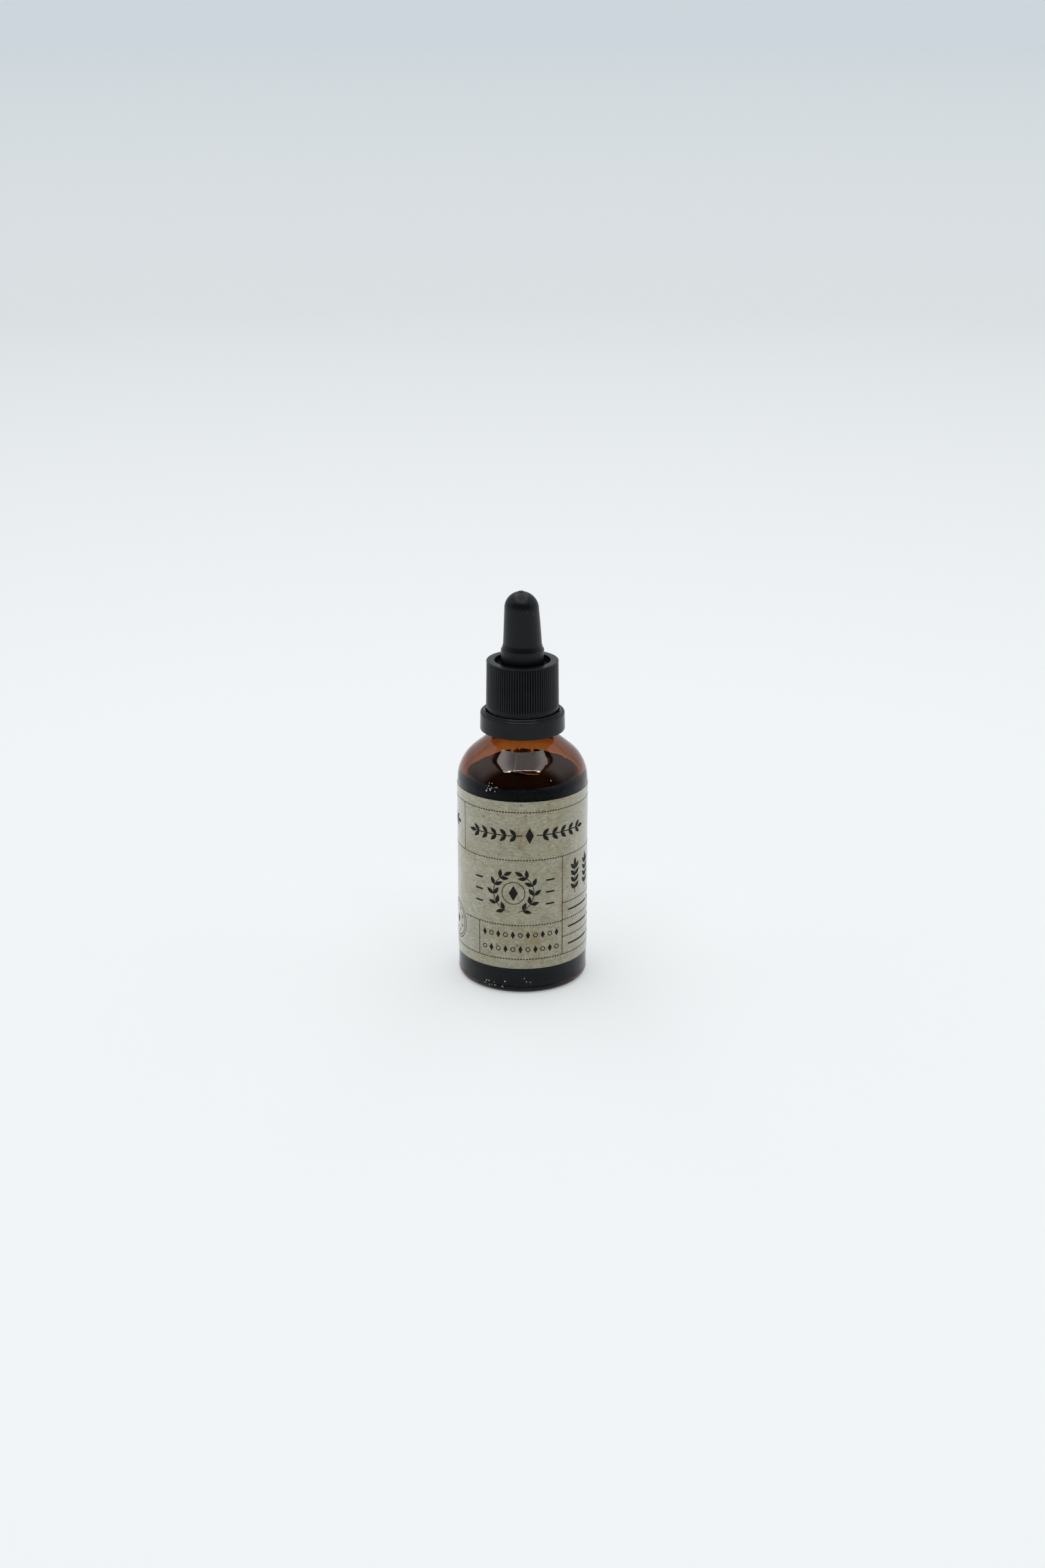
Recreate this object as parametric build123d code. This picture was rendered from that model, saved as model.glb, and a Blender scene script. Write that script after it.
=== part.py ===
from build123d import *
import math
import os

# A round amber glass bottle for bitters, with a screw cap that carries a rubber dropper.
# Sizes are in millimetres. Z is the bottle's axis, and z = 0 is the surface it stands on.
# Outlines are drawn as radius and height, and are turned about the axis.

# Overrun of every cut past the face that it opens
overrun = 1.0

# Glass bottle: barrel, heel, the flat ring it stands on, pushed-up base, sloping shoulder
body_radius = 18.5
glass_wall = 1.9
base_thickness = 3.0
heel_radius = 3.0
inner_heel_radius = 4.0
stand_width = 1.5
push_up_depth = 0.8
shoulder_radius = 11.4
shoulder_turn = 50.5  # degrees between the barrel and the slope of the shoulder

# Glass neck: bore, screw finish, plain neck, locking bead and mouth
bore_radius = 5.5
finish_wall = 2.4
finish_height = 13.02
finish_root_round = 0.6
neck_step = 0.35  # how far the plain neck stands out from the finish
neck_fillet = 4.0
neck_height = 3.9
bead_depth = 1.75
bead_height = 1.6
bead_round = 0.5
mouth_round = 0.5

# Label: paper with an open seam behind
label_bottom = 7.96
label_height = 50.4
label_to_shoulder = 1.1
label_thickness = 0.12
label_glue = 0.03
label_seam = 5.0
label_seam_bearing = 118.0  # degrees from +X towards +Y

# Bitters, and the clearance of the liquid from the glass
fill_above_shoulder = 1.85
liquid_clearance = 0.1

# Screw cap: bore over the thread, ribbed skirt, smooth rim, open top
thread_depth = 1.0
thread_clearance = 0.1
cap_wall = 0.97
cap_draft = 0.17
cap_above_bead = 1.7
cap_band_step = 0.06  # how far the smooth band stands out from the ribs
cap_band_height = 0.45
cap_edge_round = 0.15
cap_guard_wall = 1.1
cap_guard_height = 1.1  # how far the skirt's inner edge goes down inside the ring's lip
cap_top_thickness = 1.6
cap_rim_overhang = 0.06
cap_rim_height = 0.35
cap_rim_round = 0.28
rib_count = 86
rib_depth = 0.3
rib_runout = 0.9
rib_outline_shares = (0.0, 0.3, 0.7)  # root of the groove and both ends of the crest, along one pitch

# Teat: clamped flange, plug in the bore, collar, tapered bulb and dome
flange_clearance = 0.3
flange_overlap = 0.8  # how far the cap's top holds the flange
flange_thickness = 0.8
plug_clearance = 0.3
plug_depth = 4.0
plug_taper = 0.5
collar_radius = 6.05
collar_height = 3.4
collar_step = 1.5
bulb_radius = 5.46
bulb_taper = 0.61
bulb_height = 11.5
teat_wall = 1.25
gate_radius = 0.8
gate_height = 0.12
gate_round = 0.1

# Pipette: glass tube drawn down to a tip
pipette_radius = 3.5
pipette_wall = 0.9
pipette_end_round = 0.3
tip_radius = 1.6
tip_wall = 0.9
tip_straight = 1.5
tip_length = 12.5
tip_round = 12.0
tip_above_floor = 4.2
pipette_hold = 1.0  # how far the tube passes the teat's step
teat_grip = 0.1  # how much smaller the rubber's hole is than the tube
pipette_clearance = 0.3

# Tamper ring: drafted wall, top with a raised inner lip, bridge stubs and retaining lugs
ring_clearance = 0.9
ring_wall = 1.1
ring_draft = 0.1
ring_below_bead = 3.0
ring_bottom_round = 0.12
ring_top_round = 0.3
ring_top_thickness = 0.8
lip_clearance = 0.13
lip_width = 0.55
lip_height = 0.45
lip_round = 0.12
bridge_gap = 0.65
bridge_count = 12
bridge_width = 0.7
bridge_depth = 0.3
bridge_left = 0.2  # height of the stub that stays on the ring
lug_count = 8
lug_overlap = 0.7
lug_width = 3.0
lug_height = 1.0
lug_clearance = 0.2

# Radii that follow, from the bore out
finish_radius = bore_radius + finish_wall
neck_radius = finish_radius + neck_step
bead_radius = neck_radius + bead_depth
push_up_radius = body_radius - heel_radius - stand_width

cap_bore_radius = finish_radius + thread_depth + thread_clearance
cap_crest_radius = cap_bore_radius + cap_wall + rib_depth
cap_band_radius = cap_crest_radius + cap_band_step
cap_rim_radius = cap_crest_radius - cap_draft + cap_rim_overhang
flange_radius = cap_bore_radius - flange_clearance
cap_hole_radius = flange_radius - flange_overlap
plug_radius = bore_radius - plug_clearance
bulb_tip_radius = bulb_radius - bulb_taper
grip_radius = pipette_radius - teat_grip

ring_bore_radius = bead_radius + ring_clearance
ring_radius = ring_bore_radius + ring_wall
lip_inner_radius = cap_crest_radius + lip_clearance
lip_outer_radius = lip_inner_radius + lip_width
lug_radius = bead_radius - lug_overlap

# Heights that follow, from the base up
shoulder_start = label_bottom + label_height + label_to_shoulder
half_turn = math.radians(shoulder_turn) / 2
shoulder_rise = 1 / math.tan(math.radians(shoulder_turn))
shoulder_corner = shoulder_start + shoulder_radius * math.tan(half_turn)
neck_corner = shoulder_corner + (body_radius - neck_radius) * shoulder_rise
bead_bottom = neck_corner + neck_height
bead_top = bead_bottom + bead_height
mouth = bead_top + finish_height
liquid_level = shoulder_start + fill_above_shoulder

plug_bottom = mouth - plug_depth
flange_top = mouth + flange_thickness
collar_top = flange_top + collar_height
bulb_bottom = collar_top + collar_step
bulb_top = bulb_bottom + bulb_height
dome_top = bulb_top + bulb_tip_radius
tip_bottom = base_thickness + push_up_depth + tip_above_floor
pipette_top = bulb_bottom + pipette_hold

cap_bottom = bead_top + cap_above_bead
cap_top = flange_top + cap_top_thickness
ring_bottom = bead_bottom - ring_below_bead
ring_top = cap_bottom - bridge_gap


def turned(section):
    """The solid that a half section of radius and height sweeps about the bottle's axis."""
    return revolve(Plane.XZ * section, Axis.Z)


def outline_of(*points):
    """A closed outline with straight sides."""
    return make_face(Polyline(*points, close=True))


def strip_of(inner, outer, bottom, top):
    """A half section with upright sides, from an inner to an outer radius."""
    return outline_of((inner, bottom), (outer, bottom), (outer, top), (inner, top))


def rounded(section, *corners):
    """The section with each corner, given as a point and a radius, rounded."""
    for point, radius in corners:
        corner = section.vertices().sort_by_distance((*point, 0))[0]
        section = fillet(corner, radius)
    return section


def hollow(clearance, top):
    """Half section of the bottle's inside up to a height, drawn in from the glass by a clearance."""
    wall = glass_wall + clearance
    radius = body_radius - wall
    bore = bore_radius - clearance
    floor = base_thickness + clearance
    shoulder = shoulder_corner - wall * math.tan(half_turn)
    neck = shoulder + (radius - bore) * shoulder_rise
    floor_arc = TangentArc((0, floor + push_up_depth), (radius, floor), tangent=(1, 0))
    walls = Polyline((radius, floor), (radius, shoulder), (bore, neck), (bore, mouth + overrun),
                     (0, mouth + overrun), (0, floor + push_up_depth))
    inside = rounded(
        make_face(floor_arc + walls),
        ((radius, floor), inner_heel_radius),
        ((radius, shoulder), shoulder_radius - wall),
        ((bore, neck), neck_fillet + wall),
    )
    return inside & strip_of(0, body_radius, 0, top)


def make_bottle():
    """Barrel, shoulder, neck with its locking bead, and plain finish, all one wall of glass."""
    base_arc = TangentArc((0, push_up_depth), (push_up_radius, 0), tangent=(1, 0))
    walls = Polyline((push_up_radius, 0), (body_radius, 0), (body_radius, shoulder_corner),
                     (neck_radius, neck_corner), (neck_radius, bead_bottom), (bead_radius, bead_bottom),
                     (bead_radius, bead_top), (finish_radius, bead_top), (finish_radius, mouth),
                     (0, mouth), (0, push_up_depth))
    outside = rounded(
        make_face(base_arc + walls),
        ((body_radius, 0), heel_radius),
        ((body_radius, shoulder_corner), shoulder_radius),
        ((neck_radius, neck_corner), neck_fillet),
        ((bead_radius, bead_bottom), bead_round),
        ((bead_radius, bead_top), bead_round),
        ((finish_radius, bead_top), finish_root_round),
    )
    wall = rounded(
        outside - hollow(0, mouth + overrun),
        ((finish_radius, mouth), mouth_round),
        ((bore_radius, mouth), mouth_round),
    )
    return turned(wall)


def make_label():
    """Paper strip round the barrel, open at its seam."""
    inner = body_radius + label_glue
    outer = inner + label_thickness
    seam_angle = math.degrees(label_seam / outer)
    paper = Plane.XZ * strip_of(inner, outer, label_bottom, label_bottom + label_height)
    wrap = revolve(paper, Axis.Z, revolution_arc=360 - seam_angle)
    return Rot(0, 0, label_seam_bearing + seam_angle / 2) * wrap


def make_bitters():
    """The liquid in the bottle, open round the pipette."""
    hole_radius = pipette_radius + pipette_clearance
    hole_bottom = tip_bottom - pipette_clearance
    hole = strip_of(0, hole_radius, hole_bottom, liquid_level + overrun)
    return turned(hollow(liquid_clearance, liquid_level) - hole)


def drawn_tube(radius, tip, bottom, top):
    """Half section, solid to the axis, of a tube that is drawn down to its tip."""
    taper_bottom = tip_bottom + tip_straight
    taper_top = taper_bottom + tip_length
    section = outline_of((0, bottom), (tip, bottom), (tip, taper_bottom), (radius, taper_top),
                         (radius, top), (0, top))
    return rounded(section, ((radius, taper_top), tip_round))


def make_pipette():
    """Glass tube with a drawn tip and fire-polished ends."""
    outside = drawn_tube(pipette_radius, tip_radius, tip_bottom, pipette_top)
    inside = drawn_tube(pipette_radius - pipette_wall, tip_radius - tip_wall,
                        tip_bottom - overrun, pipette_top + overrun)
    wall = rounded(
        outside - inside,
        ((pipette_radius, pipette_top), pipette_end_round),
        ((tip_radius, tip_bottom), pipette_end_round),
    )
    return turned(wall)


def make_pipette_bitters():
    """The liquid that stands in the tube, level with the liquid round it."""
    return turned(drawn_tube(pipette_radius - pipette_wall - liquid_clearance,
                             tip_radius - tip_wall - liquid_clearance, tip_bottom, liquid_level))


def bulb(inset, bottom):
    """Half section, solid to the axis, of the tapered bulb and its dome, drawn in by an inset."""
    radius = bulb_tip_radius - inset
    sides = Polyline((0, bottom), (bulb_radius - inset, bottom), (radius, bulb_top))
    dome = RadiusArc((radius, bulb_top), (0, bulb_top + radius), -radius)
    return make_face(sides + dome + Line((0, bulb_top + radius), (0, bottom)))


def make_teat():
    """Rubber bulb with a plug and a flange, hollow above the hole that grips the tube."""
    base = outline_of((0, plug_bottom), (plug_radius - plug_taper, plug_bottom), (plug_radius, mouth),
                      (flange_radius, mouth), (flange_radius, flange_top), (collar_radius, flange_top),
                      (collar_radius, collar_top), (bulb_radius, bulb_bottom), (0, bulb_bottom))
    gate = rounded(strip_of(0, gate_radius, bulb_top, dome_top + gate_height),
                   ((gate_radius, dome_top + gate_height), gate_round))
    hole = strip_of(0, grip_radius, plug_bottom - overrun, pipette_top)
    return turned(base + bulb(0, bulb_bottom) + gate - bulb(teat_wall, pipette_top) - hole)


def rib_section(crest_radius, depth):
    """Cross-section of the ribbed skirt: the same rib and groove repeated round a circle."""
    radii = (crest_radius - depth, crest_radius, crest_radius)
    points = []
    for rib in range(rib_count):
        for share, radius in zip(rib_outline_shares, radii):
            angle = 2 * math.pi * (rib + share) / rib_count
            points.append((radius * math.cos(angle), radius * math.sin(angle)))
    return outline_of(*points)


def make_cap():
    """Ribbed skirt with a smooth band and rim, an inner edge below the band, and an open top."""
    rib_bottom = cap_bottom + cap_band_height
    rib_top = cap_top - cap_rim_height
    ribs = loft(
        [Plane.XY.offset(rib_bottom) * rib_section(cap_crest_radius, 0),
         Plane.XY.offset(rib_bottom + rib_runout) * rib_section(cap_crest_radius, rib_depth),
         Plane.XY.offset(rib_top) * rib_section(cap_crest_radius - cap_draft, rib_depth)],
        ruled=True,
    )
    band = rounded(strip_of(0, cap_band_radius, cap_bottom, rib_bottom),
                   ((cap_band_radius, cap_bottom), cap_edge_round))
    rim = rounded(strip_of(0, cap_rim_radius, rib_top, cap_top), ((cap_rim_radius, cap_top), cap_rim_round))
    guard_bottom = cap_bottom - cap_guard_height
    guard = strip_of(0, cap_bore_radius + cap_guard_wall, guard_bottom, rib_bottom)
    bore = strip_of(0, cap_bore_radius, guard_bottom - overrun, flange_top)
    hole = strip_of(0, cap_hole_radius, flange_top, cap_top + overrun)
    return ribs + turned(band + guard) + turned(rim) - turned(bore + hole)


def make_tamper_ring():
    """Wider ring under the cap, with lugs that hook under the bead and the stubs of its bridges."""
    shelf = ring_top - lip_height
    under_top = shelf - ring_top_thickness
    wall = rounded(
        outline_of((ring_bore_radius, ring_bottom), (ring_radius, ring_bottom),
                   (ring_radius - ring_draft, shelf), (lip_outer_radius, shelf),
                   (lip_outer_radius, ring_top), (lip_inner_radius, ring_top),
                   (lip_inner_radius, under_top), (ring_bore_radius, under_top)),
        ((ring_radius - ring_draft, shelf), ring_top_round),
        ((ring_radius, ring_bottom), ring_bottom_round),
        ((lip_outer_radius, ring_top), lip_round),
        ((lip_inner_radius, ring_top), lip_round),
    )
    ring = turned(wall)

    lug_top = bead_bottom - lug_clearance
    lug_reach = ring_bore_radius + ring_wall / 2 - lug_radius
    lug_middle = Pos(lug_radius + lug_reach / 2, 0, lug_top - lug_height / 2)
    lug = lug_middle * Box(lug_reach, lug_width, lug_height)
    for lug_place in range(lug_count):
        ring += Rot(0, 0, 360 * lug_place / lug_count) * lug

    lip_middle = (lip_inner_radius + lip_outer_radius) / 2
    stub_height = bridge_left + lip_height
    stub_middle = ring_top + bridge_left - stub_height / 2
    stub = Pos(lip_middle, 0, stub_middle) * Box(bridge_depth, bridge_width, stub_height)
    for stub_place in range(bridge_count):
        ring += Rot(0, 0, 360 * (stub_place + 1 / 2) / bridge_count) * stub
    return ring


parts = {
    "bottle": make_bottle(),
    "label": make_label(),
    "bitters": make_bitters(),
    "teat": make_teat(),
    "pipette": make_pipette(),
    "pipette_bitters": make_pipette_bitters(),
    "cap": make_cap(),
    "tamper_ring": make_tamper_ring(),
}

os.makedirs("parts", exist_ok=True)
for name, shape in parts.items():
    export_step(shape, f"parts/{name}.step")
    box = shape.bounding_box()
    print(f"{name}: volume {shape.volume / 1000:.3f} ml, z {box.min.Z:.2f} to {box.max.Z:.2f}")

brim = turned(hollow(0, mouth))
print(f"brimful capacity {brim.volume / 1000:.1f} ml, mouth at {mouth:.2f} mm")
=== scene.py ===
import random
from math import ceil, copysign, cos, log, pi, radians, sin, sqrt, tan, tau

import bpy
from mathutils import Matrix, Vector, noise


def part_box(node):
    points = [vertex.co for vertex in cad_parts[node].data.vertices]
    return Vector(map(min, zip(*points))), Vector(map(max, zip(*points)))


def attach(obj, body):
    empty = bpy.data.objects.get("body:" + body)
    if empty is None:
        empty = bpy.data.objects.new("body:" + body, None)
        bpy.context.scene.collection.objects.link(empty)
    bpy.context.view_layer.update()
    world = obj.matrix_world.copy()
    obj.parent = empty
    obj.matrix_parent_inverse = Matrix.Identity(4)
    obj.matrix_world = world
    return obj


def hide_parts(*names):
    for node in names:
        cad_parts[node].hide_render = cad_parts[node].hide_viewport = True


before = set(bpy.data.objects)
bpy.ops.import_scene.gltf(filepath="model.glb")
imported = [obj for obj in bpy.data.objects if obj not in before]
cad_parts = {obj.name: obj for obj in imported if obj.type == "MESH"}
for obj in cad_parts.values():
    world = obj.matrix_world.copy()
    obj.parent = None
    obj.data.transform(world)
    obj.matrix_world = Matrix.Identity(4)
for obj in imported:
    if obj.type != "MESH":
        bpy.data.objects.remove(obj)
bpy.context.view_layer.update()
mm = 0.001


# Glass bottle
# Amber soda-lime glass, blown in a two-part mould: barrel, shoulder, plain neck, locking bead
# and screw finish. The mould leaves a seam at the front and back, and its bottom plate a line
# round the heel. The inside was only shaped by air, so its wall is a little uneven.
glass_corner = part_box("bottle")[1]
body_radius = glass_corner.x / mm
mouth = glass_corner.z / mm
glass_wall = 1.9
base_thickness = 3.0
push_up_depth = 0.8
push_up_radius = 14.0
heel_radius = 1.9
inner_heel_radius = 4.0
shoulder_start = 59.46
shoulder_radius = 11.4
shoulder_turn = radians(50.5)
bore_radius = 5.5
finish_radius = 7.9
finish_root_round = 0.6
neck_radius = 8.25
neck_fillet = 4.0
neck_height = 3.9
bead_radius = 10.0
bead_height = 1.6
bead_round = 0.5
bead_root_round = 0.2
mouth_round = 0.6
seam_bearings = (radians(-96.25), radians(83.75))
seam_height = 0.1
seam_width = 0.45
heel_line_height = 2.1
heel_line_width = 0.25
thread_pitch = 3.0
thread_height = 0.95
thread_turns = 1.6
thread_half_width = 1.05
thread_flank = 0.75
thread_below_mouth = 1.9
thread_start_bearing = radians(200)
thread_fade = 0.1
thickness_swell = 0.2
thickness_swell_wave = 9.0
inner_ripple = 0.02
inner_ripple_wave = 2.2
outer_ripple = 0.024
outer_ripple_wave = 3.6
outer_swell = 0.01
outer_swell_wave = 1.5
glass_columns = 288
under_label = (8.5, 58.0)
arc_step = radians(5)
small_rounding = 1.0
small_arc_step = radians(15)
dish_steps = 12
heel_line_step = 0.12
finish_step = 0.3
shown_step = 0.5
hidden_step = 2.5
inside_step = 0.9
step_tolerance = 1e-4

shoulder_rise = 1 / tan(shoulder_turn)
shoulder_corner = shoulder_start + shoulder_radius * tan(shoulder_turn / 2)
neck_corner = shoulder_corner + (body_radius - neck_radius) * shoulder_rise
bead_bottom = neck_corner + neck_height
bead_top = bead_bottom + bead_height


def rounded_line(corners):
    """Points of a line with an arc at each corner, which is (radius, height, rounding)."""
    line = []
    for place, (radius, height, rounding) in enumerate(corners):
        corner = Vector((radius, height))
        if not rounding:
            line.append(corner)
            continue
        back = (Vector(corners[place - 1][:2]) - corner).normalized()
        onward = (Vector(corners[(place + 1) % len(corners)][:2]) - corner).normalized()
        half = back.angle(onward) / 2
        centre = corner + (back + onward).normalized() * rounding / sin(half)
        start = corner + back * rounding / tan(half) - centre
        sweep = copysign(pi - 2 * half, start.cross(-back))
        longest = arc_step if rounding > small_rounding else small_arc_step
        steps = max(2, round(abs(sweep) / longest))
        for step in range(steps + 1):
            line.append(centre + Matrix.Rotation(sweep * step / steps, 2) @ start)
    return line


def stepped_line(line, longest, closed=False):
    """The same line with points added. longest is its longest step, or gives that from a point
    on. A step of no length is left out."""
    stepped = []
    for start, end in zip(line, line[1:] + line[:1] if closed else line[1:]):
        most = longest(start) if callable(longest) else longest
        steps = ceil((end - start).length / most - step_tolerance)
        stepped += [start.lerp(end, step / steps) for step in range(steps)]
    return stepped if closed else stepped + [line[-1]]


def dished(edge_radius, edge_height, rise):
    """Points of a shallow dome, from the axis to just before its edge."""
    shares = [step / dish_steps for step in range(dish_steps)]
    heights = [edge_height + rise * (1 - share ** 2) for share in shares]
    return [Vector((edge_radius * share, height)) for share, height in zip(shares, heights)]


def mesh_object(name, shape, *materials, hard_angle=40):
    """A smooth-shaded object of a shape, which is its points in millimetres and its faces. Its
    edges are hard where faces turn sharply."""
    points, faces = shape
    mesh = bpy.data.meshes.new(name)
    mesh.from_pydata([[size * mm for size in point] for point in points], [], faces)
    for material in materials:
        mesh.materials.append(material)
    mesh.shade_smooth()
    mesh.set_sharp_from_angle(angle=radians(hard_angle))
    piece = bpy.data.objects.new(name, mesh)
    bpy.context.scene.collection.objects.link(piece)
    return piece


def turned(line, columns, shaped=None, closed=False):
    """The shape of a line of (radius, height) turned about the axis. shaped(row, bearing, radius,
    height) moves a point. An open line starts and ends on the axis, and a closed one is the
    section of a ring."""
    points = []
    rings = []
    for row, (radius, height) in enumerate(line):
        if radius < 1e-6:
            rings.append([len(points)] * columns)
            points.append((0, 0, height))
            continue
        rings.append(list(range(len(points), len(points) + columns)))
        for column in range(columns):
            bearing = tau * column / columns
            out, up = shaped(row, bearing, radius, height) if shaped else (radius, height)
            points.append((out * cos(bearing), out * sin(bearing), up))
    faces = []
    for low, high in zip(rings, rings[1:] + rings[:1] if closed else rings[1:]):
        for column in range(columns):
            after = (column + 1) % columns
            corners = (low[column], low[after], high[after], high[column])
            faces.append(tuple(dict.fromkeys(corners)))
    return points, faces


def smooth(share):
    """A share from 0 to 1, with level ends."""
    share = min(1.0, max(0.0, share))
    return share * share * (3 - 2 * share)


def on_thread(bearing, height, start_height, turns, half_width):
    """Share of the ridge's height at a point of a right-handed thread that winds down."""
    most = 0.0
    for turn in range(ceil(turns) + 1):
        wound = (thread_start_bearing - bearing) % tau / tau + turn
        if wound < turns:
            off_middle = abs(height - start_height + wound * thread_pitch)
            flank = smooth((half_width - off_middle) / thread_flank)
            most = max(most, flank * smooth(min(wound, turns - wound) / thread_fade))
    return most


def waves(bearing, radius, height, wavelength):
    """Smooth noise from -1 to 1 over a turned surface, with waves about as long as given."""
    place = Vector((radius * cos(bearing), radius * sin(bearing), height))
    return noise.noise(place / wavelength)


def inside_corners(gap, top):
    """The bottle's inside from its floor up to a height, drawn in from the glass by a gap."""
    wall = glass_wall + gap
    radius = body_radius - wall
    bore = bore_radius - gap
    shoulder = shoulder_corner - wall * tan(shoulder_turn / 2)
    return [
        (radius - inner_heel_radius, base_thickness + gap, 0),
        (radius, base_thickness + gap, inner_heel_radius),
        (radius, shoulder, shoulder_radius - wall),
        (bore, shoulder + (radius - bore) * shoulder_rise, neck_fillet + wall),
        (bore, top, 0),
    ]


def outer_step(place):
    """Short steps at the heel's line and on the threaded finish, and long ones under the label."""
    if place.y > bead_top and place.x > finish_radius - mouth_round:
        return finish_step
    if place.y < heel_line_height:
        return heel_line_step if place.x > body_radius - heel_radius else hidden_step
    return hidden_step if under_label[0] <= place.y < under_label[1] else shown_step


def inner_step(place):
    """Long steps in the barrel, where the bitters hide the inside of the glass."""
    return hidden_step if place.y < under_label[1] else inside_step


outer_glass = dished(push_up_radius, 0, push_up_depth) + rounded_line([
    (push_up_radius, 0, 0),
    (body_radius, 0, heel_radius),
    (body_radius, heel_line_height + heel_line_width, 0),
    *[(body_radius, height, 0) for height in under_label],
    (body_radius, shoulder_corner, shoulder_radius),
    (neck_radius, neck_corner, neck_fillet),
    (neck_radius, bead_bottom, bead_root_round),
    (bead_radius, bead_bottom, bead_round),
    (bead_radius, bead_top, bead_round),
    (finish_radius, bead_top, finish_root_round),
    (finish_radius, mouth, mouth_round),
    (bore_radius, mouth, 0),
])[:-1]
inner_glass = rounded_line([
    (finish_radius, mouth, 0),
    (bore_radius, mouth, mouth_round),
    *inside_corners(0, mouth)[-2::-1],
])[1:]
inner_glass[-1:] = dished(inner_glass[-1].x, base_thickness, push_up_depth)[::-1]
outer_glass = stepped_line(outer_glass, outer_step)
inner_glass = stepped_line(inner_glass[::-1], inner_step)[::-1]


def shaped_glass(row, bearing, radius, height):
    """Seams and thread on the outside, and the uneven wall of blown glass inside."""
    if row >= len(outer_glass):
        if height < bead_top:
            radius += thickness_swell * waves(bearing, radius, height, thickness_swell_wave)
            radius += inner_ripple * waves(bearing, radius, height, inner_ripple_wave)
        return radius, height
    radius += outer_ripple * waves(bearing, radius, height, outer_ripple_wave)
    radius += outer_swell * waves(bearing, radius, height, outer_swell_wave)
    if height > bead_top + finish_root_round:
        start_height = mouth - thread_below_mouth
        ridge = on_thread(bearing, height, start_height, thread_turns, thread_half_width)
        radius += thread_height * ridge
    if radius > push_up_radius:
        radius += seam_height * smooth(1 - abs(height - heel_line_height) / heel_line_width)
    if heel_radius < height < mouth - thread_below_mouth:
        for seam in seam_bearings:
            off_seam = abs((bearing - seam + pi) % tau - pi) * radius
            radius += seam_height * smooth(1 - off_seam / seam_width)
    return radius, height


def linear(hex_colour):
    """Linear colour, with an alpha of 1, of an sRGB colour written as six hex digits."""
    values = [int(hex_colour[place:place + 2], 16) / 255 for place in (0, 2, 4)]
    curved = [v / 12.92 if v <= 0.04045 else ((v + 0.055) / 1.055) ** 2.4 for v in values]
    return (*curved, 1.0)


def add_node(tree, kind, sockets=None, stops=None, **settings):
    """Adds a node with its settings. sockets gives an input its value, the output that feeds it,
    or the node whose first output does. stops are the places and hex colours of a ramp."""
    node = tree.nodes.new("ShaderNode" + kind)
    for name, value in settings.items():
        setattr(node, name, value)
    for name, value in (sockets or {}).items():
        if isinstance(value, bpy.types.Node):
            value = value.outputs[0]
        if isinstance(value, bpy.types.NodeSocket):
            tree.links.new(value, node.inputs[name])
        else:
            node.inputs[name].default_value = value
    for place, (position, colour) in enumerate(stops or []):
        if place > 1:
            node.color_ramp.elements.new(position)
        node.color_ramp.elements[place].position = position
        node.color_ramp.elements[place].color = linear(colour)
    return node


def new_material(name):
    """An empty material, its node tree, and the output that gives a point's place in metres."""
    material = bpy.data.materials.new(name)
    material.use_nodes = True
    tree = material.node_tree
    tree.nodes.clear()
    return material, tree, add_node(tree, "TexCoord").outputs["Object"]


# Amber comes from iron and sulphur in the melt: thin glass is honey orange, thick glass brown.
# It is fire-polished, so it mirrors cleanly apart from a faint haze of handling. Its mirroring is
# held back below the shoulder, so that the glass over the liquid stays as black as it looks.
amber_glass, tree, place = new_material("blown_amber_glass")
handling = add_node(tree, "TexNoise", {
    "Vector": place, "Scale": 1 / (14 * mm), "Detail": 4.0, "Roughness": 0.65})
haze = add_node(tree, "MapRange", {
    "Value": handling, "From Min": 0.5, "From Max": 0.75, "To Min": 0.0, "To Max": 0.06})
parts = add_node(tree, "SeparateXYZ", {"Vector": place})
share_up = add_node(tree, "Math", {0: parts.outputs["Z"], 1: mouth * mm}, operation="DIVIDE")
mirroring = add_node(tree, "ValToRGB", {"Fac": share_up}, stops=[
    (0.1, "9ca6ad"), (0.5, "6e7880"), (61.3 / mouth, "6e7880"), (63.5 / mouth, "f6f8fa")])
shader = add_node(tree, "BsdfPrincipled", {
    "Base Color": (1, 1, 1, 1), "Roughness": haze, "IOR": 1.52, "Specular Tint": mirroring,
    "Transmission Weight": 1.0})
tint = add_node(tree, "VolumeAbsorption", {"Color": linear("daa916"), "Density": 1 / mm})
add_node(tree, "OutputMaterial", {"Surface": shader, "Volume": tint})

glass_shape = turned(outer_glass + inner_glass, glass_columns, shaped_glass)
bottle = mesh_object("glass_bottle", glass_shape, amber_glass)
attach(bottle, "bottle")
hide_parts("bottle")


# Crumbs and a painted glint
# Bits of paper and dried glue that cling to the outside, most of them just above the label, and
# dust along the heel where the bottle is set down. The tight patch at 26.5 degrees is a painted
# highlight: pale crumbs that stand in for the glint of a seed in the glass. Each patch has a
# bearing from the front in degrees, a height, its spread in degrees round the bottle and in
# height, and its crumbs' number.
crumb_and_glint_patches = ((-30, 61.6, 5, 0.625, 13), (-31, 2.2, 5, 0.625, 6), (-20, 2.6, 9, 0.7, 4),
                 (1, 3.4, 9, 0.7, 3), (26.5, 63.8, 0.4, 0.05, 3), (140, 62.5, 20, 0.7, 6),
                 (200, 2.6, 30, 0.7, 8))
crumb_sizes = (0.13, 0.26)
crumb_unevenness = (0.6, 1.3)
draw = random.Random(5)
crumb_points = []
crumb_faces = []
octahedron = [Vector(corner) for corner in (
    (1, 0, 0), (0, 1, 0), (-1, 0, 0), (0, -1, 0), (0, 0, 1), (0, 0, -1))]
outer_wall = [point for point in outer_glass if point.x > push_up_radius]
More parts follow.
